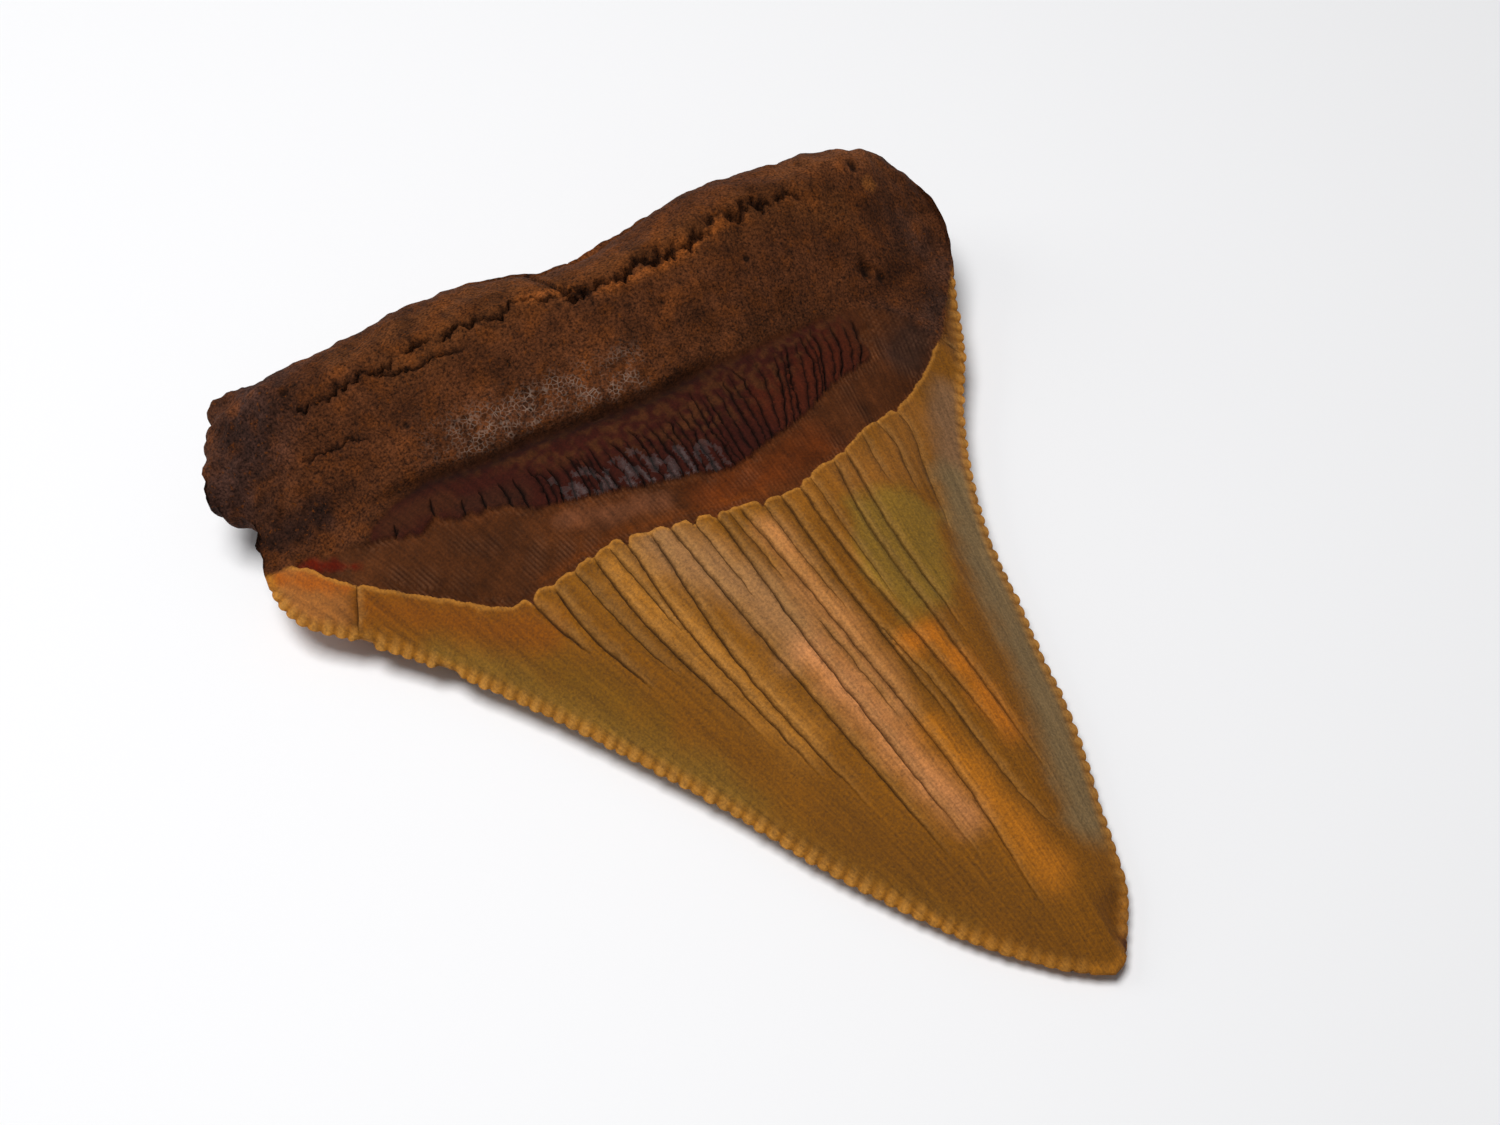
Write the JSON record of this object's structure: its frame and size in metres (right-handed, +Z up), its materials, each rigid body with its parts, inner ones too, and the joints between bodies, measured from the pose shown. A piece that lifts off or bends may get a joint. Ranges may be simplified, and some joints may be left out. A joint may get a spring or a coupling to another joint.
{
  "type": "megalodon tooth",
  "caption": "Fossil shark tooth lying flat: broad triangular crown with serrated edges, cracked enamel and a thick two-lobed bony root.",
  "frame": {"origin": "middle of the tooth's footprint, on the surface that its flat labial face rests on", "axes": "+X across the root towards its larger lobe, +Y from the tip towards the root, +Z up out of the convex lingual face"},
  "size_m": [0.0566, 0.0622, 0.014],
  "materials": {
    "fossil": "satin enamel over the crown, matt porous bone on the root"
  },
  "bodies": {
    "root": {"tooth": "fossil"}
  },
  "joints": []
}
